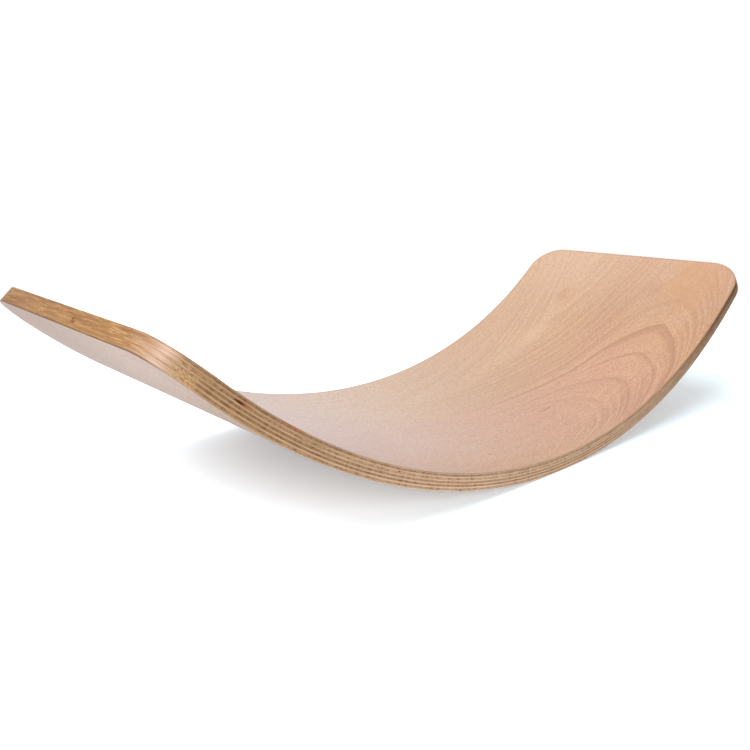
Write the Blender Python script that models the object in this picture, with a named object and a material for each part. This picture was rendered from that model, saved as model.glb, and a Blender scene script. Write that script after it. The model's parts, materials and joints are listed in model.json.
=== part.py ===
"""Curved balance board: eleven wood veneers bent over one mould and glued into a rocker.

Run it with blender --background --python part.py, or from Blender's text editor.
Metres, +Z up. The board stands on its rocker with the origin under its middle, its length along X.

Each veneer is made the way the workshop makes it: a flat blank, its corners rounded, its edge eased
where it is a face, and then the blank is bent round the mould. The veneers lie a glue line apart.
"""

import math

import bmesh
import bpy
from mathutils import Matrix, Vector

# Driving dimensions
ARC_LENGTH = 0.873  # along the middle of the thickness, end to end
WIDTH = 0.300
MOULD_RADIUS = 0.578  # of the middle of the thickness
CORNER_RADIUS = 0.040
FACE_VENEER = 0.0008
CORE_VENEER = 0.00105
GLUE_LINE = 0.0003
CORE_VENEERS = 9
EDGE_EASING = 0.0006

# How finely the bent surface is divided
BEND_FACETS = 41  # between the corners; an odd number leaves one facet level under the middle
CORNER_FACETS = 8
EASING_FACETS = 2
SNAP = 1e-7  # a cut this near a corner of the blank goes through it

THICKNESS = 2 * FACE_VENEER + CORE_VENEERS * CORE_VENEER + (CORE_VENEERS + 1) * GLUE_LINE

# Beech shows its flat grain on the faces; a core veneer shows its own run of grain at the edge
MATERIALS = {
    "beech_face": {"colour": (0.68, 0.44, 0.30), "roughness": 0.42},
    "cross_grain_core": {"colour": (0.30, 0.17, 0.085), "roughness": 0.60},
    "long_grain_core": {"colour": (0.55, 0.36, 0.20), "roughness": 0.55},
}


def clear_scene():
    """Empties the scene, so that only the board is left in it."""
    for found in list(bpy.data.objects):
        bpy.data.objects.remove(found)


def new_collection(name):
    made = bpy.data.collections.new(name)
    bpy.context.scene.collection.children.link(made)
    return made


def new_material(name, colour, roughness):
    made = bpy.data.materials.new(name)
    made.use_nodes = True
    shader = made.node_tree.nodes["Principled BSDF"]
    shader.inputs["Base Color"].default_value = (*colour, 1.0)
    shader.inputs["Roughness"].default_value = roughness
    shader.inputs["Metallic"].default_value = 0.0
    made.diffuse_color = (*colour, 1.0)
    return made


def flat_blank(bottom, top):
    """A rectangular blank as thick as one veneer, at its height in the flat stack."""
    blank = bmesh.new()
    bmesh.ops.create_cube(blank, size=1.0)
    bmesh.ops.scale(blank, vec=(ARC_LENGTH, WIDTH, top - bottom), verts=blank.verts)
    bmesh.ops.translate(blank, vec=(0, 0, (top + bottom) / 2), verts=blank.verts)
    return blank


def round_corners(blank):
    """Rounds the blank's four upright corner edges."""
    upright = [
        edge for edge in blank.edges
        if abs(edge.verts[0].co.z - edge.verts[1].co.z) > SNAP
    ]
    bmesh.ops.bevel(
        blank, geom=upright, offset=CORNER_RADIUS, offset_type="OFFSET",
        segments=CORNER_FACETS, profile=0.5, affect="EDGES",
    )


def ease_edge(blank, height):
    """Takes the sharpness off the whole outline of the blank's face at this height."""
    outline = [
        edge for edge in blank.edges
        if all(abs(vertex.co.z - height) < SNAP for vertex in edge.verts)
    ]
    bmesh.ops.bevel(
        blank, geom=outline, offset=EDGE_EASING, offset_type="OFFSET",
        segments=EASING_FACETS, profile=0.5, affect="EDGES",
    )


def crosscut_stations():
    """Places along the blank where it is divided: evenly between the corners, and at each corner facet."""
    straight = ARC_LENGTH / 2 - CORNER_RADIUS
    even = [straight * (2 * i / BEND_FACETS - 1) for i in range(BEND_FACETS + 1)]
    turn = [math.pi / 2 * i / CORNER_FACETS for i in range(1, CORNER_FACETS)]
    corner = [straight + CORNER_RADIUS * math.sin(angle) for angle in turn]
    return [-place for place in reversed(corner)] + even + corner


def divide(blank):
    """Cuts the blank across at every station, so that it can bend in flat facets."""
    for place in crosscut_stations():
        bmesh.ops.bisect_plane(
            blank, geom=blank.verts[:] + blank.edges[:] + blank.faces[:], dist=SNAP,
            plane_co=(place, 0, 0), plane_no=(1, 0, 0),
        )


def bend(blank):
    """Wraps the flat blank round the mould, whose axis is MOULD_RADIUS above the stack's middle."""
    lift = THICKNESS / 2 + MOULD_RADIUS
    for vertex in blank.verts:
        angle = vertex.co.x / MOULD_RADIUS
        radius = MOULD_RADIUS - vertex.co.z
        vertex.co = Vector((radius * math.sin(angle), vertex.co.y, lift - radius * math.cos(angle)))


def stand_on_ground(objects):
    """Lowers the board until its bottom facet lies at zero height: a facet cuts inside the true arc."""
    lowest = min(vertex.co.z for found in objects for vertex in found.data.vertices)
    for found in objects:
        found.data.transform(Matrix.Translation((0, 0, -lowest)))


def add_veneer(collection, name, material, bottom, top, eased_height=None):
    """One veneer of the stack, bent, between two heights above the stack's middle."""
    blank = flat_blank(bottom, top)
    round_corners(blank)
    if eased_height is not None:
        ease_edge(blank, eased_height)
    divide(blank)
    bend(blank)
    bmesh.ops.recalc_face_normals(blank, faces=blank.faces)
    mesh = bpy.data.meshes.new(name)
    blank.to_mesh(mesh)
    blank.free()
    mesh.shade_smooth()
    mesh.set_sharp_from_angle(angle=math.radians(30))
    made = bpy.data.objects.new(name, mesh)
    made.data.materials.append(material)
    collection.objects.link(made)
    return made


def build_board():
    clear_scene()
    board = new_collection("balance_board")
    materials = {
        name: new_material(name, look["colour"], look["roughness"])
        for name, look in MATERIALS.items()
    }
    bottom = -THICKNESS / 2
    veneers = [
        add_veneer(
            board, "bottom_face_veneer", materials["beech_face"],
            bottom, bottom + FACE_VENEER, eased_height=bottom,
        )
    ]
    bottom += FACE_VENEER + GLUE_LINE

    # Core veneers from the bottom up, turned by a quarter each time: the odd ones run across the board
    for number in range(1, CORE_VENEERS + 1):
        run = "cross" if number % 2 else "long"
        veneers.append(
            add_veneer(
                board, f"core_veneer_{number}_{run}_grain", materials[f"{run}_grain_core"],
                bottom, bottom + CORE_VENEER,
            )
        )
        bottom += CORE_VENEER + GLUE_LINE

    veneers.append(
        add_veneer(
            board, "top_face_veneer", materials["beech_face"],
            bottom, bottom + FACE_VENEER, eased_height=bottom + FACE_VENEER,
        )
    )
    stand_on_ground(veneers)


build_board()
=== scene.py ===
"""The looks of the curved balance board: beech veneers, sanded laminated edges and satin lacquer.

Each veneer is built flat, as a blank with its own coordinates (along the board, across it, through it),
and then bent. The materials read those flat coordinates from the mesh, so that the figure follows the wood
round the bend.
Metres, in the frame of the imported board: X along its length, Y across, Z up.
"""

import json
import math

import bmesh
import bpy
from mathutils import Matrix, Vector


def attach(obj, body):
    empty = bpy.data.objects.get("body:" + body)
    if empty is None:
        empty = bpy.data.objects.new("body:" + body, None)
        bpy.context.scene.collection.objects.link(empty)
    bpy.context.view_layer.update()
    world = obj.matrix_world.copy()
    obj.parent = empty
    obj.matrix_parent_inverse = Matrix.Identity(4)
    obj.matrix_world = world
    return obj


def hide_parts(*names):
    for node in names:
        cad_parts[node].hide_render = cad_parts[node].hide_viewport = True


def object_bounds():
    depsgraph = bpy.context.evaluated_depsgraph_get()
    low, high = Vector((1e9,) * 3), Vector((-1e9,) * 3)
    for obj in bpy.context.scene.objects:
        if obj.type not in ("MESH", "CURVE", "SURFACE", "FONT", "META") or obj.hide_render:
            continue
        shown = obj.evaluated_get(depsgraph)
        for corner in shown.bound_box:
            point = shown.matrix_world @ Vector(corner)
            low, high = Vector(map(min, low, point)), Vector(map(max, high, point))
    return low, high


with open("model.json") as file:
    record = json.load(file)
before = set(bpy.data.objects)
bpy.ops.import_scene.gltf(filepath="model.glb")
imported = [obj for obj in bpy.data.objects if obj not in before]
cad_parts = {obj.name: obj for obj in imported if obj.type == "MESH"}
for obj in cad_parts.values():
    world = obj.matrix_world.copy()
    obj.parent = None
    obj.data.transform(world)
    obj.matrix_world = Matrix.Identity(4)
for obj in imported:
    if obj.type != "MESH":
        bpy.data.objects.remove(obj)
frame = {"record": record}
cad_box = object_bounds()

# The board, as the frame has it
mounts = {mount["name"]: mount for mount in frame["record"]["mounts"]}
WIDTH = cad_box[1][1] - cad_box[0][1]
THICKNESS = mounts["deck_middle"]["pos_m"][2] - mounts["rocker_rest"]["pos_m"][2]
ARC_LENGTH = 0.873  # along the middle of the thickness
MOULD_RADIUS = 0.578  # of the middle of the thickness
CORNER_RADIUS = 0.040
FACE_VENEER = 0.0008
GLUE_LINE = 0.0003
CORE_VENEERS = 9
CORE_VENEER = (THICKNESS - 2 * FACE_VENEER - (CORE_VENEERS + 1) * GLUE_LINE) / CORE_VENEERS
PLY_PITCH = CORE_VENEER + GLUE_LINE
FIRST_JOINT = -THICKNESS / 2 + FACE_VENEER + GLUE_LINE / 2  # the lowest glue line's middle

# The fine surface
STATION_STEP = 0.002  # along the straight sides
CORNER_STEPS = 24
EASING = 0.0004  # radius of the sanded outer edges
EASING_STEPS = 4
SUPPORT = 0.0005  # a ring of points this far inside an edge keeps a face's shading flat
SHARP_ANGLE = 40  # degrees
GLUE_RECESS = 0.00006  # sanding leaves the glue a little below the wood
GLUE_CLEARANCE = 0.00001
TOP_TONE = 0.6  # how dark the top veneer's edge is
CORE_TONES = (0.0, 0.1, 0.8, 0.3, 0.6, 0.3, 0.2, 0.4, 1.0)  # and the core veneers', from the bottom up
PLY_WAVER = 0.00011  # veneers aren't quite even: their joints wander this far up and down
WAVES = ((31, 1.7, 1.0), (67, 2.9, 0.6))  # along the board: radians a metre, turn for each joint, share
CROSS_WAVE = (43, 2.3, 1.0)  # across it
WAVE_SHARES = 2.6  # of all three

# Where two strips of a cross veneer don't meet, they leave a small hole in the near long edge
GAP_VENEER = 7
GAP_PLACE = -0.3765
GAP_HALF_LENGTH = 0.0045
GAP_DEPTH = 0.0012


# ---------------------------------------------------------------- mesh

FACE_SLOT = 0  # a veneer's material slots: its face's, and its rim's
RIM_SLOT = 1


def half_outline():
    """The far long side of the blank from end to end, as (place, outward direction), both flat."""
    straight = ARC_LENGTH / 2 - CORNER_RADIUS
    flank = WIDTH / 2 - CORNER_RADIUS
    steps = round(2 * straight / STATION_STEP)
    corner = [math.pi / 2 * i / CORNER_STEPS for i in range(1, CORNER_STEPS + 1)]
    left = []
    for angle in reversed(corner):
        away = Vector((-math.sin(angle), math.cos(angle)))
        left.append((Vector((-straight, flank)) + CORNER_RADIUS * away, away))
    middle = [
        (Vector((straight * (2 * i / steps - 1), WIDTH / 2)), Vector((0, 1)))
        for i in range(steps + 1)
    ]
    right = [
        (Vector((-place.x, place.y)), Vector((-away.x, away.y)))
        for place, away in reversed(left)
    ]
    return left + middle + right


def outline():
    """The blank's whole outline: the far long side left to right, then the near one right to left."""
    far = half_outline()
    near = [
        (Vector((place.x, -place.y)), Vector((away.x, -away.y)))
        for place, away in reversed(far)
    ]
    return far + near


def bent(s, y, height):
    """Where a point of the flat blank lies on the bent board. Height is from the stack's middle."""
    angle = s / MOULD_RADIUS
    radius = MOULD_RADIUS - height
    lift = MOULD_RADIUS + THICKNESS / 2
    return Vector((radius * math.sin(angle), y, lift - radius * math.cos(angle)))


def waver(joint, s, y):
    """How far glue line number `joint` wanders from its level at this place."""
    waves = [(s, *wave) for wave in WAVES] + [(y, *CROSS_WAVE)]
    total = sum(share * math.sin(place * rate + turn * joint) for place, rate, turn, share in waves)
    return PLY_WAVER * total / WAVE_SHARES


def gap(place):
    """How far the veneer with the hole in it falls short of the outline here."""
    off_centre = abs(place.x - GAP_PLACE) / GAP_HALF_LENGTH
    if place.y > 0 or off_centre > 1:
        return 0
    return GAP_DEPTH * (1 - off_centre ** 4)


def ring(mesh, layers, inset, level, joint, tone, gapped):
    """One closed ring of points, `inset` inside the outline, at a level of the stack.

    `joint` is the number of the glue line that it wanders with, or 0 on the two faces, which are even.
    Each point keeps its place in the blank, the way the outline faces there, and its veneer's tone."""
    made = []
    for place, away in outline():
        flat = place - (inset + (gap(place) if gapped else 0)) * away
        height = level + (waver(joint, flat.x, flat.y) if joint else 0)
        vertex = mesh.verts.new(bent(flat.x, flat.y, height))
        vertex[layers["blank"]] = Vector((flat.x, flat.y, height))
        vertex[layers["facing"]] = Vector((away.x, away.y, tone))
        made.append(vertex)
    return made


def cap(mesh, points, upwards):
    """Closes a ring with strips from one long side to the other, which face up or down."""
    last = len(points) - 1
    for i in range(len(points) // 2 - 1):
        corners = [points[i], points[i + 1], points[last - i - 1], points[last - i]]
        face = mesh.faces.new(corners[::-1] if upwards else corners)
        face.material_index = FACE_SLOT


def wall(mesh, lower, upper, slot):
    """The band of faces between two rings."""
    count = len(lower)
    for i in range(count):
        j = (i + 1) % count
        face = mesh.faces.new([lower[i], upper[i], upper[j], lower[j]])
        face.material_index = slot


def sheet(name, rows, materials, tone=0.0, gapped=False):
    """A closed sheet from the rows of its rim, from the bottom up, each (inset, level, joint).

    The first and last walls belong to the faces, and the walls between them to the rim."""
    mesh = bmesh.new()
    layers = {key: mesh.verts.layers.float_vector.new(key) for key in ("blank", "facing")}
    rings = [ring(mesh, layers, *row, tone, gapped) for row in rows]
    cap(mesh, rings[0], upwards=False)
    for number, (lower, upper) in enumerate(zip(rings, rings[1:])):
        on_a_face = number in (0, len(rows) - 2)
        wall(mesh, lower, upper, FACE_SLOT if on_a_face else RIM_SLOT)
    cap(mesh, rings[-1], upwards=True)
    bmesh.ops.recalc_face_normals(mesh, faces=mesh.faces)
    data = bpy.data.meshes.new(name)
    mesh.to_mesh(data)
    mesh.free()
    data.shade_smooth()
    data.set_sharp_from_angle(angle=math.radians(SHARP_ANGLE))
    for material in materials:
        data.materials.append(material)
    made = bpy.data.objects.new(name, data)
    bpy.context.scene.collection.objects.link(made)
    return made


def easing(level, outwards):
    """Rows of a sanded edge: a quarter round from the face at `level` to the side of the veneer."""
    rows = []
    for i in range(EASING_STEPS + 1):
        angle = math.pi / 2 * i / EASING_STEPS
        inset = EASING * (1 - math.sin(angle))
        drop = EASING * (1 - math.cos(angle))
        rows.append((inset, level - outwards * drop, 0))
    return rows


def joint_level(number):
    """The middle of glue line `number`, counted from 1 at the bottom."""
    return FIRST_JOINT + (number - 1) * PLY_PITCH


def top_face(name, materials):
    number = CORE_VENEERS + 1
    level = joint_level(number) + GLUE_LINE / 2
    rows = [(SUPPORT, level, number), (0, level, number)]
    rows += reversed(easing(THICKNESS / 2, outwards=1))
    rows.append((EASING + SUPPORT, THICKNESS / 2, 0))
    return sheet(name, rows, materials, TOP_TONE)


def bottom_face(name, materials):
    level = joint_level(1) - GLUE_LINE / 2
    rows = [(EASING + SUPPORT, -THICKNESS / 2, 0)]
    rows += easing(-THICKNESS / 2, outwards=-1)
    rows += [(0, level, 1), (SUPPORT, level, 1)]
    return sheet(name, rows, materials)


def core_veneer(name, number, materials):
    """Core veneer `number`, counted from the bottom, between glue lines `number` and `number` + 1."""
    lower = joint_level(number) + GLUE_LINE / 2
    upper = joint_level(number + 1) - GLUE_LINE / 2
    rows = [(SUPPORT, lower, number), (0, lower, number)]
    rows += [(0, upper, number + 1), (SUPPORT, upper, number + 1)]
    return sheet(name, rows, materials, CORE_TONES[number - 1], gapped=number == GAP_VENEER)


def glue_film(number, materials):
    """The glue between two veneers, flush with their edges but for what sanding took."""
    level = joint_level(number)
    half = GLUE_LINE / 2 - GLUE_CLEARANCE
    inner = GLUE_RECESS + SUPPORT
    rows = [(inner, level - half, number), (GLUE_RECESS, level - half, number)]
    rows += [(GLUE_RECESS, level + half, number), (inner, level + half, number)]
    return sheet(f"glue_line_{number}", rows, materials)


# ---------------------------------------------------------------- materials

# A fade is (low, high, strength at low, strength at high), or (low, high) for a strength from 0 to 1.
# A texture's cells are how many of its blobs go to a metre along the board, across it and through it.

AVERAGE = 0.5  # of any noise
MIX_COLOURS = (6, 7)  # a Mix node's sockets for its two colours
MIX_RESULT = 2  # and for the one that it makes
SPOT_CELLS = (2, 2, 2)  # to a stain's half size
SPOT_RAG = 0.9
SPOT_FADE = (0.35, 1.0, 1.0, 0.0)  # from its centre, in half sizes


class Nodes:
    """A tree of nodes. Most methods add a node or more and return the socket with the result."""

    def __init__(self, tree):
        self.tree = tree

    def node(self, kind, inputs=(), **settings):
        """A new node of this kind, with these settings and with its inputs fed."""
        made = self.tree.nodes.new(kind)
        for key, value in settings.items():
            setattr(made, key, value)
        for key, value in dict(inputs).items():
            self.feed(made.inputs[key], value)
        return made

    def feed(self, socket, value):
        """Links the socket to a value that another node makes, or sets it to a plain one."""
        if isinstance(value, bpy.types.NodeSocket):
            self.tree.links.new(value, socket)
        elif value is not None:
            socket.default_value = value

    def mesh_vector(self, name):
        """The vector that the mesh's points hold under this name."""
        return self.node("ShaderNodeAttribute", attribute_name=name).outputs["Vector"]

    def parts(self, vector):
        split = self.node("ShaderNodeSeparateXYZ", {0: vector})
        return split.outputs[0], split.outputs[1], split.outputs[2]

    def joined(self, x, y, z):
        return self.node("ShaderNodeCombineXYZ", {0: x, 1: y, 2: z}).outputs[0]

    def length(self, vector):
        return self.node("ShaderNodeVectorMath", {0: vector}, operation="LENGTH").outputs["Value"]

    def scaled(self, vector, factors):
        return self.node("ShaderNodeVectorMath", {0: vector, 1: factors}, operation="MULTIPLY").outputs[0]

    def moved(self, vector, offset):
        return self.node("ShaderNodeVectorMath", {0: vector, 1: offset}, operation="ADD").outputs[0]

    def math(self, operation, first, second=None):
        return self.node("ShaderNodeMath", {0: first, 1: second}, operation=operation).outputs[0]

    def plus(self, first, second):
        return self.math("ADD", first, second)

    def minus(self, first, second):
        return self.math("SUBTRACT", first, second)

    def times(self, product, *factors):
        for factor in factors:
            product = self.math("MULTIPLY", product, factor)
        return product

    def larger(self, first, second):
        return self.math("MAXIMUM", first, second)

    def unsigned(self, value):
        return self.math("ABSOLUTE", value)

    def round_size(self, value, rounding):
        """The value without its sign, with its corner at zero rounded off."""
        return self.math("SQRT", self.plus(self.times(value, value), rounding * rounding))

    def between(self, value, low, high, start=0.0, end=1.0):
        """Eases from `start` to `end` as the value goes from low to high, and stays there."""
        inputs = {"Value": value, "From Min": low, "From Max": high, "To Min": start, "To Max": end}
        return self.node("ShaderNodeMapRange", inputs, interpolation_type="SMOOTHSTEP").outputs[0]

    def noise(self, vector, cells, detail=3, roughness=0.5, distortion=0.0):
        """Soft noise, about 0.5 on average."""
        inputs = {"Vector": self.scaled(vector, cells), "Scale": 1.0}
        inputs.update({"Detail": detail, "Roughness": roughness, "Distortion": distortion})
        return self.node("ShaderNodeTexNoise", inputs).outputs[0]

    def chance(self, number):
        """A random value from 0 to 1 for each whole number."""
        return self.node("ShaderNodeTexWhiteNoise", {"W": number}, noise_dimensions="1D").outputs["Value"]

    def mix(self, factor, first, second):
        """The first colour, turned into the second one by the factor."""
        made = self.node("ShaderNodeMix", {"Factor": factor}, data_type="RGBA")
        for key, colour in zip(MIX_COLOURS, (first, second)):
            is_made = isinstance(colour, bpy.types.NodeSocket)
            self.feed(made.inputs[key], colour if is_made else (*colour, 1.0))
        return made.outputs[MIX_RESULT]


class Finish(Nodes):
    """One material's nodes."""

    def __init__(self, name):
        self.material = bpy.data.materials.new(name)
        self.material.use_nodes = True
        super().__init__(self.material.node_tree)

    def spot(self, vector, centre, half_size):
        """1 at a place of the blank, falling to 0 half a size away, with a ragged edge."""
        from_centre = self.moved(vector, [-part for part in centre])
        local = self.scaled(from_centre, [1 / part for part in half_size])
        rag = self.minus(self.noise(local, SPOT_CELLS, detail=4), AVERAGE)
        away = self.plus(self.length(local), self.times(rag, SPOT_RAG))
        return self.between(away, *SPOT_FADE)

    def marked(self, colour, place, marks):
        """The colour with these marks on it, each (centre, half size, colour, strength), in the blank."""
        for centre, half_size, stain, strength in marks:
            factor = self.times(self.spot(place, centre, half_size), strength)
            colour = self.mix(factor, colour, stain)
        return colour

    def finish(self, colour, roughness, bump, bump_depth, specular, coat, coat_roughness):
        """Feeds the shader. All that is the same all over is set on the shader's own sockets."""
        shader = self.tree.nodes["Principled BSDF"]
        relief = {"Strength": 1.0, "Distance": bump_depth, "Height": bump}
        inputs = {
            "Base Color": colour,
            "Roughness": roughness,
            "Specular IOR Level": specular,
            "Coat Weight": coat,
            "Coat Roughness": coat_roughness,
            "Normal": self.node("ShaderNodeBump", relief).outputs[0],
        }
        for key, value in inputs.items():
            self.feed(shader.inputs[key], value)
        return self.material


# Beech, in linear colours
PALE_BEECH = (0.735, 0.500, 0.315)
AMBER = (0.500, 0.212, 0.055)
FACE_DEEP = (0.560, 0.335, 0.190)  # painted shade: darker towards the ends of both faces
FACE_RING = (0.450, 0.200, 0.100)
FACE_FLECK = (0.250, 0.110, 0.050)
# the faces are darker towards their outline
RIM_DARK = (0.330, 0.155, 0.050)
EDGE_PORE = (0.120, 0.055, 0.022)
# painted shade inside the hole in the near long side
GAP_SHADE = (0.130, 0.016, 0.008)
RUST = (0.260, 0.060, 0.014)
DARK_DOT = (0.040, 0.018, 0.010)
PINK_STAIN = (0.520, 0.060, 0.070)

# Marks on the wood, each (centre, half size, colour, strength) in the blank: first the deck's, then those
# on the near long side and the left end
NEAR_SIDE = -WIDTH / 2
LEFT_END = -ARC_LENGTH / 2
DECK_MARKS = (
    ((0.400, -0.098, THICKNESS / 2), (0.070, 0.046, 1.0), AMBER, 0.42),
    ((0.345, 0.058, THICKNESS / 2), (0.030, 0.020, 1.0), AMBER, 0.20),
    ((0.378, -0.055, THICKNESS / 2), (0.025, 0.014, 1.0), FACE_RING, 0.40),
    ((0.250, 0.056, THICKNESS / 2), (0.045, 0.014, 1.0), PALE_BEECH, 0.22),
    ((0.345, 0.066, THICKNESS / 2), (0.022, 0.010, 1.0), FACE_RING, 0.35),
    ((0.091, -0.069, THICKNESS / 2), (0.014, 0.0010, 1.0), FACE_FLECK, 0.90),
    ((-0.059, -0.110, THICKNESS / 2), (0.004, 0.0012, 1.0), FACE_FLECK, 0.90),
    ((-0.333, NEAR_SIDE, THICKNESS / 2), (0.015, 0.0025, 1.0), PINK_STAIN, 0.60),
)
EDGE_MARKS = (
    ((GAP_PLACE + 0.004, NEAR_SIDE, 0.0030), (0.010, 0.01, 0.0016), RUST, 0.50),
    # painted shade inside the hole
    ((GAP_PLACE, NEAR_SIDE, 0.0028), (0.0065, 0.01, 0.0011), GAP_SHADE, 0.95),
    ((-0.333, NEAR_SIDE, 0.0071), (0.015, 0.01, 0.0013), PINK_STAIN, 0.85),
    ((-0.2215, NEAR_SIDE, 0.0033), (0.0020, 0.01, 0.0009), RUST, 0.95),
    ((-0.1465, NEAR_SIDE, -0.0060), (0.0030, 0.01, 0.0008), GAP_SHADE, 0.80),
    ((LEFT_END, -0.023, 0.0), (0.01, 0.0020, 0.0011), DARK_DOT, 1.0),
    ((LEFT_END, -0.0255, -0.0022), (0.01, 0.0060, 0.0016), RUST, 1.0),
    ((LEFT_END, 0.010, 0.0030), (0.01, 0.0022, 0.0012), RUST, 1.0),
    ((LEFT_END, -0.003, 0.0035), (0.01, 0.0060, 0.0014), AMBER, 0.70),
)

# The two faces. The rings of each show as arches round a first line along the board, and as sharper ones
# that point the other way round a second line. Both lines are given by their place across the board, and
# the boldest ring by where along the board it crosses the first line.
DECK = {
    "tan": (0.725, 0.424, 0.230),
    "pink": (0.715, 0.384, 0.240),
    "rose": (0.720, 0.430, 0.375),  # towards the left end: a painted reflection, paler and bluer
    "pale": PALE_BEECH,  # towards the far side
    "pale at left": 0.35,  # how much of the pale colour shows at the left end
    "first line": -0.080,
    "second line": 0.057,
    "boldest ring": 0.317,
    "mirror": 1.0,
    "shift": 0.0,
    "specular": 0.5,
    "coat": 0.8,
    "marks": DECK_MARKS,
}
UNDERSIDE = {
    "tan": (0.430, 0.325, 0.254),
    "pink": (0.430, 0.318, 0.272),
    "rose": (0.430, 0.318, 0.272),
    # painted light: mirrored to the underside's near side, this pale colour lightens the shade that falls
    # there
    "pale": (0.745, 0.595, 0.505),
    "pale at left": 1.0,
    "first line": -0.035,
    "second line": 0.110,
    "boldest ring": 0.100,
    "mirror": -1.0,  # its figure is mirrored across the board
    "shift": 3.0,  # and its noise is taken from elsewhere
    "specular": 0.25,
    "coat": 0.25,
    "marks": (),
}

# How the rings run
RING = 0.057  # from one ring to the next along the first line
FINE_RING = RING / 3
NOSE = 0.014  # how round an arch's point is
TIP = 0.015  # the same at the second line
NEAR_SLANT = 1.3  # how steeply a ring falls back along the board, beside its point
FAR_SLANT = 4.3  # how much steeper beyond the knee
KNEE = 0.030  # half the width of an arch
KNEE_ROUND = 0.010
CROWD_START = 0.045  # beyond this far outside the first line, the rings crowd together
CROWD = 19000.0
CROWD_POWER = 3.0
SLOW_CELLS = (7, 14, 0)
SLOW_PUSH = 0.050  # how far the slow noise moves a ring along the board
QUICK_CELLS = (35, 160, 0)
QUICK_PUSH = 0.004


def figure(look, face, s, y, place):
    """The growth rings as a height, in metres along the first line: a ring is a line of equal height."""
    past = look.round_size(look.minus(y, face["second line"]), TIP)
    reach = look.minus(face["second line"] - face["first line"] + TIP, past)
    away = look.minus(look.round_size(reach, NOSE), NOSE)
    knee = look.minus(away, KNEE)
    beyond = look.plus(look.round_size(knee, KNEE_ROUND), knee)
    rise = look.plus(look.times(away, NEAR_SLANT), look.times(beyond, FAR_SLANT / 2))
    outside = look.larger(look.minus(-CROWD_START, reach), 0.0)
    crowd = look.times(look.math("POWER", outside, CROWD_POWER), CROWD)
    slow = look.minus(look.noise(place, SLOW_CELLS, detail=2), AVERAGE)
    quick = look.minus(look.noise(place, QUICK_CELLS, roughness=0.6), AVERAGE)
    height = look.plus(look.plus(s, rise), crowd)
    height = look.plus(height, look.times(slow, SLOW_PUSH))
    return look.plus(height, look.times(quick, QUICK_PUSH))


LATE_START = (0.76, 0.95)  # where in a ring its latewood darkens, and where it stops
LATE_END = (0.98, 1.0, 1.0, 0.0)


def latewood(look, height, spacing, start, softest):
    """Dark lines, soft towards the older wood and crisp towards the younger, each of its own strength."""
    count = look.math("DIVIDE", look.minus(height, start), spacing)
    phase = look.math("FRACT", count)
    line = look.times(look.between(phase, *LATE_START), look.between(phase, *LATE_END))
    luck = look.chance(look.math("FLOOR", count))
    return look.times(line, look.between(luck, 0.0, 1.0, softest, 1.0))


TONE_CELLS = (2.5, 9, 0)
PINK_FADE = (0.35, 0.65)
PINKER = 0.05  # inside the boldest ring, and as much less outside it
DEEP_FADE = (0.30, 0.50, 0.0, 0.9)  # from the middle of the board
DEEP_WANDER = 0.2  # how much the noise adds to that distance
ROSE_FADE = (-0.30, 0.06, 0.9, 0.0)  # along the board
PALE_FADE = (-0.07, 0.12, 0.0, 0.60)  # across it; mirrored on the underside, where it is painted light on the shaded near side
PALE_ALONG = (-0.20, 0.12)


def plain_colour(look, face, s, y, height, place):
    """A face's colour before its rings and grain are drawn."""
    bold = face["boldest ring"]
    tone = look.noise(place, TONE_CELLS)
    pinkness = look.plus(look.between(height, bold - RING, bold, PINKER, -PINKER), tone)
    colour = look.mix(look.between(pinkness, *PINK_FADE), face["tan"], face["pink"])
    # painted shade: darker towards the ends
    towards_end = look.plus(look.unsigned(s), look.times(tone, DEEP_WANDER))
    colour = look.mix(look.between(towards_end, *DEEP_FADE), colour, FACE_DEEP)
    # painted reflection: paler, bluer colour towards the left end
    colour = look.mix(look.between(s, *ROSE_FADE), colour, face["rose"])
    # the pale colour; on the underside it is painted light on its shaded near side
    along = look.between(s, *PALE_ALONG, face["pale at left"], 1.0)
    return look.mix(look.times(look.between(y, *PALE_FADE), along), colour, face["pale"])


# Where fine lines crowd together: in a strip along one edge, and outside the boldest ring between two
# places across the board, but less at the tips of the second line's arches and towards the left end
EDGE_STRIP = (-0.130, -0.112, 1.0, 0.0)
LINED_FROM = (-0.060, -0.030)
LINED_TO = (0.035, 0.065, 1.0, 0.5)
LINED_TIPS = (0.004, 0.022, 0.35, 1.0)  # from the second line
LINED_LEFT = (-0.05, 0.10, 0.2, 1.0)  # along the board


def lined_part(look, face, s, y, height):
    """1 where fine lines crowd together, and 0 where there are none."""
    bold = face["boldest ring"]
    outside = look.between(height, bold - RING / 2, bold + RING / 2)
    strip = look.between(y, *EDGE_STRIP)
    lined = look.times(look.between(y, *LINED_FROM), look.between(y, *LINED_TO))
    from_tips = look.unsigned(look.minus(y, face["second line"]))
    lined = look.times(lined, look.between(from_tips, *LINED_TIPS))
    lined = look.larger(look.times(outside, lined), strip)
    return look.times(lined, look.larger(look.between(s, *LINED_LEFT), strip))


CALM_LEFT = (-0.02, 0.14)  # along the board: the figure is calmer to the left of these
CALM_FAR = (0.0, 0.06, 1.0, 0.3)  # across the board
CALM_LINES = 0.12  # what is left of the lines there
CALM_BANDS = 0.5  # and of the bands
OLDEST = 0.25  # strength of a ring five rings inside the boldest one
YOUNGEST = 0.40  # and of the ones outside it
RING_STRENGTH = 0.58
RING_SOFTEST = 0.7
WIDE_STRENGTH = 0.52
WIDE_RING = 0.026  # how far inside the boldest ring its wide shade begins
WIDE_END = 0.002  # and how far inside it the shade starts to end
FINE_STRENGTH = (0.12, 0.75)  # elsewhere, and where lines crowd together
FINE_SOFTEST = 0.0
BAND_CELLS = (110, 8, 1)  # up the figure's height, and across the board
BAND_FADE = (0.40, 0.60)
BAND_STRENGTH = (0.14, 0.48)  # elsewhere, and where lines crowd together


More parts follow.
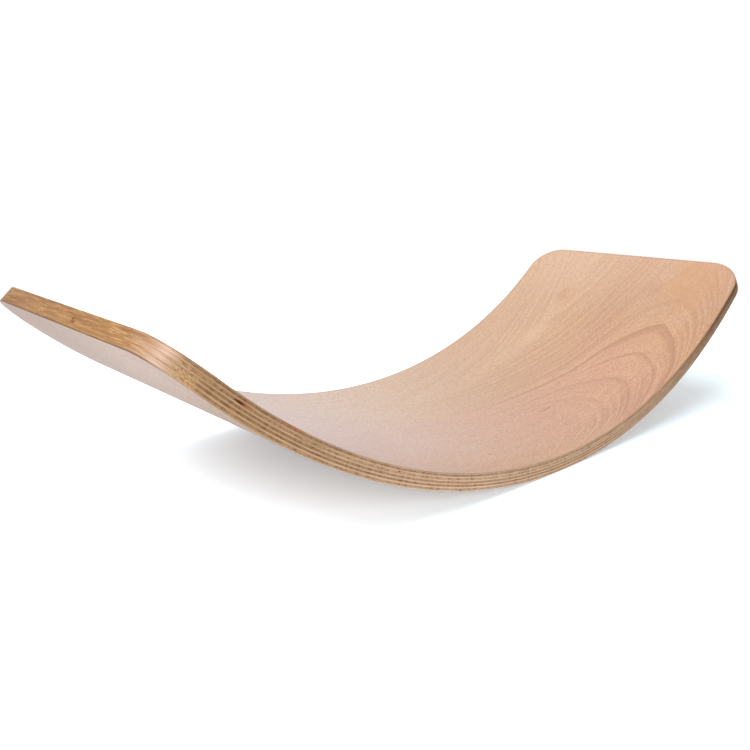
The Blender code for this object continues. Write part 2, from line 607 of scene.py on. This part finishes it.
def with_rings(look, face, s, y, height, colour):
    """The colour with the growth rings drawn on it, the boldest one with a wide shade behind it."""
    bold = face["boldest ring"]
    fades = look.times(look.between(s, *CALM_LEFT, CALM_LINES, 1.0), look.between(y, *CALM_FAR))
    older = look.between(height, bold - 5 * RING, bold - RING / 2, OLDEST, 1.0)
    younger = look.between(height, bold, bold + FINE_RING, 1.0, YOUNGEST)
    strong = look.times(older, younger, fades)
    rings = look.times(latewood(look, height, RING, bold, RING_SOFTEST), strong)
    fine = look.times(latewood(look, height, FINE_RING, bold, FINE_SOFTEST), fades)
    wide = look.between(height, bold - WIDE_RING, bold - WIDE_RING / 2)
    wide = look.times(wide, look.between(height, bold - WIDE_END, bold, 1.0, 0.0), fades)
    lined = lined_part(look, face, s, y, height)
    course = look.joined(height, y, face["shift"])
    bands = look.between(look.noise(course, BAND_CELLS, roughness=0.55), *BAND_FADE)
    bands = look.times(bands, look.between(lined, 0.0, 1.0, *BAND_STRENGTH))
    bands = look.times(bands, look.between(s, *CALM_LEFT, CALM_BANDS, 1.0))
    wide = look.times(wide, WIDE_STRENGTH)
    rings = look.times(rings, RING_STRENGTH)
    fine = look.times(fine, look.between(lined, 0.0, 1.0, *FINE_STRENGTH))
    for factor in (bands, wide, rings, fine):
        colour = look.mix(factor, colour, FACE_RING)
    return colour


def rim_depth(look, place):
    """How far inside the blank's outline a point of its face lies, in metres."""
    x, y, _ = look.parts(place)
    past_x = look.minus(look.unsigned(x), ARC_LENGTH / 2 - CORNER_RADIUS)
    past_y = look.minus(look.unsigned(y), WIDTH / 2 - CORNER_RADIUS)
    past = look.joined(look.larger(past_x, 0.0), look.larger(past_y, 0.0), 0.0)
    return look.minus(CORNER_RADIUS, look.length(past))


FLECK_CELLS = (260, 1500, 0)
FLECK_SIZE = (0.12, 0.34, 1.0, 0.0)  # from the middle of its cell, in cells
FLECK_CHOICE = (0.45, 0.75)  # of the cells' random values


def ray_flecks(look, place):
    """Beech's short dark dashes along the grain: 1 where there is one."""
    texture = {"Vector": look.scaled(place, FLECK_CELLS), "Scale": 1.0}
    cells = look.node("ShaderNodeTexVoronoi", texture)
    dash = look.between(cells.outputs["Distance"], *FLECK_SIZE)
    chosen = look.between(look.parts(cells.outputs["Color"])[0], *FLECK_CHOICE)
    return look.times(dash, chosen)


STREAK_CELLS = (8, 400, 0)
STREAK_FADE = (0.44, 0.72, 0.0, 0.28)
GRAIN_CELLS = (230, 1300, 0)
GRAIN_FADE = (0.46, 0.64, 0.0, 0.50)
FIBRE_CELLS = (300, 3000, 0)
FIBRE_FADE = (0.48, 0.70, 0.0, 0.40)
FLECK_STRENGTH = 0.60
RIM_FADE = (0.0004, 0.0030, 0.55, 0.0)  # inwards from the outline
FACE_ROUGHNESS = (0.3, 0.7, 0.36, 0.46)
FACE_RELIEF = 0.00001
FACE_COAT_ROUGHNESS = 0.24


def face_finish(name, face):
    """A flat-cut beech face under satin lacquer."""
    look = Finish(name)
    blank = look.mesh_vector("blank")
    s, y, _ = look.parts(look.scaled(blank, (1, face["mirror"], 1)))
    place = look.moved(blank, (face["shift"], face["shift"], 0))
    height = figure(look, face, s, y, place)
    colour = plain_colour(look, face, s, y, height, place)
    colour = with_rings(look, face, s, y, height, colour)
    streaks = look.noise(place, STREAK_CELLS, detail=4, roughness=0.65)
    grain = look.noise(place, GRAIN_CELLS, detail=4, roughness=0.6, distortion=1.0)
    fibres = look.noise(place, FIBRE_CELLS, detail=2)
    flecks = ray_flecks(look, place)
    colour = look.mix(look.between(streaks, *STREAK_FADE), colour, FACE_RING)
    colour = look.mix(look.between(grain, *GRAIN_FADE), colour, FACE_FLECK)
    colour = look.mix(look.between(fibres, *FIBRE_FADE), colour, FACE_FLECK)
    colour = look.mix(look.times(flecks, FLECK_STRENGTH), colour, FACE_FLECK)
    colour = look.mix(look.between(rim_depth(look, blank), *RIM_FADE), colour, RIM_DARK)
    return look.finish(
        look.marked(colour, blank, face["marks"]),
        roughness=look.between(grain, *FACE_ROUGHNESS),
        bump=look.minus(fibres, flecks),
        bump_depth=FACE_RELIEF,
        specular=face["specular"],
        coat=face["coat"],
        coat_roughness=FACE_COAT_ROUGHNESS,
    )


# What the long sides show, by what is cut there: wood along its grain, wood across it, or glue. Each has a
# pair of colours, the second one darker, at the left end, in the middle and at the right end. The darker
# colours at the ends and the lighter ones in the middle are painted shade and painted light, for the way
# the light on the long sides falls off towards both ends.
LONG_SIDES = {
    "along": (
        ((0.480, 0.290, 0.135), (0.310, 0.175, 0.073)),
        ((0.840, 0.605, 0.415), (0.560, 0.355, 0.210)),
        ((0.620, 0.380, 0.210), (0.340, 0.175, 0.080)),
    ),
    "across": (
        ((0.285, 0.155, 0.066), (0.105, 0.045, 0.016)),
        ((0.555, 0.360, 0.235), (0.190, 0.105, 0.055)),
        ((0.210, 0.095, 0.038), (0.085, 0.032, 0.012)),
    ),
    "glue": (
        ((0.210, 0.110, 0.042), (0.110, 0.046, 0.016)),
        ((0.370, 0.235, 0.135), (0.210, 0.120, 0.060)),
        ((0.080, 0.028, 0.009), (0.050, 0.018, 0.006)),
    ),
}
LEFT_FADE = (-0.42, -0.12, 0.85, 0.0)  # how much of the left end's colours, painted shade, shows along the board
RIGHT_FADE = (0.10, 0.44, 0.0, 0.92)  # and of the right end's painted shade


def long_side_colours(look, along, shown):
    """The two colours of what shows, at this place along the board, with the painted shade towards the
    ends.
    """
    left, middle, right = LONG_SIDES[shown]
    to_left = look.between(along, *LEFT_FADE)
    to_right = look.between(along, *RIGHT_FADE)
    return [
        look.mix(to_right, look.mix(to_left, middle[i], left[i]), right[i])
        for i in range(2)
    ]


SHORT_GOLD = (0.500, 0.265, 0.085)
SHORT_BROWN = (0.250, 0.100, 0.026)
# painted highlights: lighter yellow glints on the short ends
SHORT_GLINT = (0.700, 0.420, 0.180)
SHORT_STREAK_CELLS = (25, 25, 1500)
SHORT_STREAK_FADE = (0.46, 0.68, 0.0, 0.85)
SHORT_PATCH_CELLS = (16, 16, 380)
SHORT_PATCH_FADE = (0.36, 0.64, 0.0, 0.8)
GLINT_CELLS = (70, 70, 1100)
GLINT_FADE = (0.55, 0.70, 0.0, 0.60)
SHORT_FAR_FADE = (-0.12, 0.12, 0.0, 0.35)  # darker towards the far side


def short_end_colour(look, place):
    """The sanded and lacquered short ends: golden, with brown streaks that don't keep to the veneers, and
    painted yellow highlights.
    """
    _, y, _ = look.parts(place)
    streaks = look.noise(place, SHORT_STREAK_CELLS, detail=4, roughness=0.65)
    patches = look.noise(place, SHORT_PATCH_CELLS, roughness=0.6)
    glints = look.noise(place, GLINT_CELLS)
    colour = look.mix(look.between(patches, *SHORT_PATCH_FADE), SHORT_GOLD, SHORT_BROWN)
    colour = look.mix(look.between(streaks, *SHORT_STREAK_FADE), colour, SHORT_BROWN)
    # painted highlights: the yellow glints
    colour = look.mix(look.between(glints, *GLINT_FADE), colour, SHORT_GLINT)
    return look.mix(look.between(y, *SHORT_FAR_FADE), colour, SHORT_BROWN)


EDGE_STREAK_CELLS = (40, 40, 3200)
EDGE_STREAK_FADE = (0.36, 0.64)
CHECK_CELLS = (260, 260, 110)
CHECK_FADE = (0.42, 0.64, 0.0, 0.85)
PORE_CELLS = (1700, 1700, 2600)
PORE_FADE = (0.45, 0.75, 0.0, 0.5)
PATCH_CELLS = (60, 60, 600)
PATCH_FADE = (0.46, 0.70)
FLAKE_CELLS = (240, 240, 1500)
FLAKE_FADE = (0.46, 0.66)
MINGLE_FADE = (-0.001, 0.005, 0.45, 0.75)  # the upper veneers run into each other more than the lower
WANDER = 0.12  # how far the patches move the change of colours along a long side
TONE_STRENGTH = 0.42  # of the darkest veneer
DUSK_ALONG = (0.20, 0.40)  # painted shade: the upper veneers go dark towards the right end
DUSK_UP = (-0.0015, 0.0045, 0.0, 0.80)
FACE_EDGE = LONG_SIDES["along"][0][0]
FACE_EDGE_FADE = (0.10, 0.44, 0.0, 0.75)  # but the edges of the faces stay light there, kept out of the painted shade
TURN_FADE = (0.50, 0.92)  # how far the edge has turned round a corner, from a long side to a short end

# The corners. How far the edge has turned is made ragged first. A streaked pink sheen is painted on them
# as a painted highlight, full on the near corners and weaker on the far ones.
RAG = 0.25
CORNER_SHEEN_PINK = (0.570, 0.375, 0.275)
PINK_TURN = (0.48, 0.72)
PINK_NEAR = (-0.135, -0.095, 1.0, 0.0)  # across the board, the near corners
PINK_FAR = (0.095, 0.135, 0.0, 0.3)  # and the far ones
PINK_STREAKS = (0.42, 0.60, 0.85, 0.10)
CLUMP_LIGHT = (0.620, 0.390, 0.180)
CLUMP_DARK = LONG_SIDES["across"][0][0]
CLUMP_CELLS = (650, 650, 1000)
CLUMP_FADE = (0.38, 0.62)
CLUMP_START = (0.18, 0.36)  # of the turn: between the long side and the pink, the fibres show in clumps
CLUMP_END = (0.50, 0.72, 1.0, 0.0)
CLUMP_UP = (-0.003, 0.004, 0.60, 0.10)  # and more so in the lower veneers

# The outer edges are a little darker, and so is the foot of the short ends
HALF = THICKNESS / 2
ARRIS_FADE = (HALF - 0.0003, HALF, 0.0, 0.6)
FOOT_FADE = (-HALF + 0.0003, -HALF + 0.0010, 0.8, 0.0)

EDGE_ROUGHNESS = (0.35, 0.65, 0.46, 0.66)
EDGE_RELIEF = 0.00003
EDGE_SPECULAR = 0.20
EDGE_COAT_ROUGHNESS = 0.33
SHEEN_TURN = (0.35, 0.65)  # the long sides are matt, the short ends shinier
SHEEN_SIDE = (0.0, 1.0, 0.2, 1.0)  # and the pink corners the shiniest
SHEEN_STREAKS = (0.40, 0.62, 0.85, 0.25)


def edge_finish(name, on_long_sides, on_short_ends, stays_light=False):
    """The sanded edge of a veneer or a glue line. What is cut where is a key of LONG_SIDES."""
    look = Finish(name)
    place = look.mesh_vector("blank")
    s, y, height = look.parts(place)
    to_end, _, tone = look.parts(look.mesh_vector("facing"))
    to_end = look.unsigned(to_end)
    turned = look.between(to_end, *TURN_FADE)
    streaks = look.noise(place, EDGE_STREAK_CELLS, detail=4, roughness=0.6)
    patches = look.noise(place, PATCH_CELLS, roughness=0.6)
    checks = look.noise(place, CHECK_CELLS, detail=5, roughness=0.75)
    flakes = look.noise(place, FLAKE_CELLS, roughness=0.6)
    pores = look.noise(place, PORE_CELLS, detail=2)
    uneven = look.minus(patches, AVERAGE)
    along = look.plus(s, look.times(uneven, WANDER))

    def seen(shown):
        wood, dark = long_side_colours(look, along, shown)
        if shown == "along":
            return look.mix(look.between(streaks, *EDGE_STREAK_FADE), wood, dark)
        checked = look.mix(look.between(checks, *CHECK_FADE), wood, dark)
        return look.mix(look.between(pores, *PORE_FADE), checked, dark)

    colour = seen(on_long_sides)
    if on_short_ends != on_long_sides:
        colour = look.mix(turned, colour, seen(on_short_ends))
    mingled = look.between(height, *MINGLE_FADE)
    colour = look.mix(look.times(look.between(patches, *PATCH_FADE), mingled), colour, seen("across"))
    colour = look.mix(look.times(look.between(flakes, *FLAKE_FADE), mingled), colour, seen("along"))
    colour = look.mix(look.between(tone, 0.0, 1.0, 0.0, TONE_STRENGTH), colour, EDGE_PORE)
    # painted shade on the upper veneers towards the right end
    dusk = look.times(look.between(along, *DUSK_ALONG), look.between(height, *DUSK_UP))
    colour = look.mix(dusk, colour, EDGE_PORE)
    if stays_light:
        colour = look.mix(look.between(along, *FACE_EDGE_FADE), colour, FACE_EDGE)
    colour = look.mix(turned, colour, short_end_colour(look, place))

    ragged = look.plus(to_end, look.times(uneven, RAG))
    by_side = look.plus(look.between(y, *PINK_NEAR), look.between(y, *PINK_FAR))
    # painted highlight: the pink sheen on the corners
    pink = look.times(look.between(ragged, *PINK_TURN), by_side, look.between(streaks, *PINK_STREAKS))
    colour = look.mix(pink, colour, CORNER_SHEEN_PINK)
    clumps = look.between(look.noise(place, CLUMP_CELLS, roughness=0.6), *CLUMP_FADE)
    rough = look.times(look.between(ragged, *CLUMP_START), look.between(ragged, *CLUMP_END))
    rough = look.times(rough, look.between(height, *CLUMP_UP))
    colour = look.mix(rough, colour, look.mix(clumps, CLUMP_LIGHT, CLUMP_DARK))
    colour = look.marked(colour, place, EDGE_MARKS)
    colour = look.mix(look.between(look.unsigned(height), *ARRIS_FADE), colour, EDGE_PORE)
    colour = look.mix(look.times(look.between(height, *FOOT_FADE), turned), colour, EDGE_PORE)

    sheen = look.times(look.between(ragged, *SHEEN_TURN), look.between(by_side, *SHEEN_SIDE))
    return look.finish(
        colour,
        roughness=look.between(streaks, *EDGE_ROUGHNESS),
        bump=pores,
        bump_depth=EDGE_RELIEF,
        specular=EDGE_SPECULAR,
        coat=look.times(sheen, look.between(streaks, *SHEEN_STREAKS)),
        coat_roughness=EDGE_COAT_ROUGHNESS,
    )


FLOOR_WHITE = 0.93
FLOOR_GAIN = 1.52  # for the camera, the paper is exposed to come out white but for the deep shadow
FLOOR_TINT = (1.00, 1.155, 1.25)  # and balanced against the colour of the light off the wood
FLOOR_LIFT = 0.06  # light that the paper gives out, which stands for the rest of a white room
SEEN_LIFT = 0.09  # what the camera sees on top of that
FLOOR_EDGE = (0.9, 1.5)  # metres from the board: between these the paper melts into the white room


def floor_finish():
    """White paper that fades into the room, and is clear from below, so that the underside shows."""
    look = Finish("studio_floor")
    seen = look.node("ShaderNodeLightPath").outputs["Is Camera Ray"]
    exposed = [FLOOR_WHITE * FLOOR_GAIN * part for part in FLOOR_TINT]
    white = look.mix(seen, [FLOOR_WHITE] * 3, exposed)
    paper = look.node("ShaderNodeBsdfDiffuse", {"Color": white}).outputs[0]
    strength = look.between(seen, 0.0, 1.0, FLOOR_LIFT, FLOOR_LIFT + SEEN_LIFT)
    lift = look.node("ShaderNodeEmission", {"Strength": strength}).outputs[0]
    lit = look.node("ShaderNodeAddShader", {0: paper, 1: lift}).outputs[0]
    geometry = look.node("ShaderNodeNewGeometry")
    away = look.length(geometry.outputs["Position"])
    fade = look.times(look.between(away, *FLOOR_EDGE), seen)
    room = look.node("ShaderNodeEmission", {"Strength": 1.0}).outputs[0]
    top = look.node("ShaderNodeMixShader", {0: fade, 1: lit, 2: room}).outputs[0]
    clear = look.node("ShaderNodeBsdfTransparent").outputs[0]
    sides = {0: geometry.outputs["Backfacing"], 1: top, 2: clear}
    both = look.node("ShaderNodeMixShader", sides).outputs[0]
    look.feed(look.tree.nodes["Material Output"].inputs["Surface"], both)
    return look.material


# ---------------------------------------------------------------- board

def dress_board():
    """Replaces each packed veneer by its fine one, and fills the glue lines between them."""
    deck = face_finish("deck_beech", DECK)
    under = face_finish("underside_beech", UNDERSIDE)
    edges = {
        "cross": edge_finish("cross_grain_edge", "across", "along"),
        "long": edge_finish("long_grain_edge", "along", "across"),
    }
    face_edge = edge_finish("face_edge", "along", "across", stays_light=True)
    glue = edge_finish("glue_line", "glue", "glue")

    def stands_for(piece, node):
        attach(piece, "root")
        if node is not None:
            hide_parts(node)

    stands_for(bottom_face("underside", [under, face_edge]), "bottom_face_veneer")
    stands_for(top_face("deck", [deck, face_edge]), "top_face_veneer")
    for number in range(1, CORE_VENEERS + 1):
        run = "cross" if number % 2 else "long"
        piece = core_veneer(f"core_{number}_{run}", number, [edges[run], edges[run]])
        stands_for(piece, f"core_veneer_{number}_{run}_grain")
    for number in range(1, CORE_VENEERS + 2):
        stands_for(glue_film(number, [glue, glue]), None)


# ---------------------------------------------------------------- studio

CAMERA_AZIMUTH = 43.018  # degrees, of the way it looks, from +Y towards +X
CAMERA_DROP = 6.824  # degrees that it looks down
CAMERA_ROLL = 1.342  # degrees
CAMERA_DISTANCE = 0.7022
CAMERA_LENS = 35.504  # millimetres
CAMERA_SENSOR = 36.0  # millimetres
CAMERA_SHIFT = -0.1294
CAMERA_NEAR = 0.01
CAMERA_AIM = (-0.1034, 0, 0.1696)


def add_camera():
    """Close and low at the board's near left corner."""
    data = bpy.data.cameras.new("camera")
    data.lens = CAMERA_LENS
    data.sensor_width = CAMERA_SENSOR
    data.shift_y = CAMERA_SHIFT
    data.clip_start = CAMERA_NEAR
    azimuth = math.radians(CAMERA_AZIMUTH)
    drop = math.radians(CAMERA_DROP)
    roll = Matrix.Rotation(math.radians(CAMERA_ROLL), 3, "Z").to_quaternion()
    level = math.cos(drop)
    way = Vector((math.sin(azimuth) * level, math.cos(azimuth) * level, -math.sin(drop)))
    camera = bpy.data.objects.new("camera", data)
    camera.location = Vector(CAMERA_AIM) - way * CAMERA_DISTANCE
    camera.rotation_mode = "QUATERNION"
    camera.rotation_quaternion = way.to_track_quat("-Z", "Y") @ roll
    bpy.context.scene.collection.objects.link(camera)
    bpy.context.scene.camera = camera


SOFTBOXES = {  # the place of each, its size and its power in watts
    "key": ((-1.6, -0.5, 1.7), 0.8, 17.0),
    "fill": ((-0.35, -0.9, 0.28), 0.5, 3.4),
    "overhead": ((0.0, 0.3, 1.2), 1.0, 4.8),
}
SOFTBOX_AIM = (0, 0, 0.06)


def add_softbox(name, place, size, power):
    data = bpy.data.lights.new(name, "AREA")
    data.shape = "SQUARE"
    data.size = size
    data.energy = power
    lamp = bpy.data.objects.new(name, data)
    lamp.location = place
    lamp.rotation_mode = "QUATERNION"
    lamp.rotation_quaternion = (Vector(SOFTBOX_AIM) - Vector(place)).to_track_quat("-Z", "Y")
    bpy.context.scene.collection.objects.link(lamp)


ROOM_SIDES = (  # the bright sides of the room: the way to them, and how bright they are
    ((-1.0, 0.0, 0.0), 1.25),
    ((0.35, 0.93, 0.10), 1.0),
)


def add_room():
    """Soft light from two sides of a room that is plain white where the camera sees it."""
    world = bpy.data.worlds.new("studio")
    world.use_nodes = True
    room = Nodes(world.node_tree)
    way = room.node("ShaderNodeTexCoord").outputs["Generated"]
    strength = room.node("ShaderNodeLightPath").outputs["Is Camera Ray"]
    for side, brightness in ROOM_SIDES:
        pair = {0: way, 1: Vector(side).normalized()}
        facing = room.node("ShaderNodeVectorMath", pair, operation="DOT_PRODUCT").outputs["Value"]
        strength = room.plus(strength, room.between(facing, 0.0, 1.0, 0.0, brightness))
    background = world.node_tree.nodes["Background"]
    background.inputs["Color"].default_value = (1.0, 1.0, 1.0, 1.0)
    room.feed(background.inputs["Strength"], strength)
    bpy.context.scene.world = world


FLOOR_REACH = 6.0  # from its middle to each side


def add_floor():
    mesh = bpy.data.meshes.new("floor")
    plan = bmesh.new()
    bmesh.ops.create_grid(plan, x_segments=1, y_segments=1, size=FLOOR_REACH)
    plan.to_mesh(mesh)
    plan.free()
    mesh.materials.append(floor_finish())
    floor = bpy.data.objects.new("floor", mesh)
    bpy.context.scene.collection.objects.link(floor)


def add_studio():
    """A white room, one softbox high on the left, one low before the near side and one overhead."""
    bpy.context.scene.view_settings.view_transform = "Standard"
    add_room()
    for name, (place, size, power) in SOFTBOXES.items():
        add_softbox(name, place, size, power)
    add_floor()


add_camera()
dress_board()
add_studio()
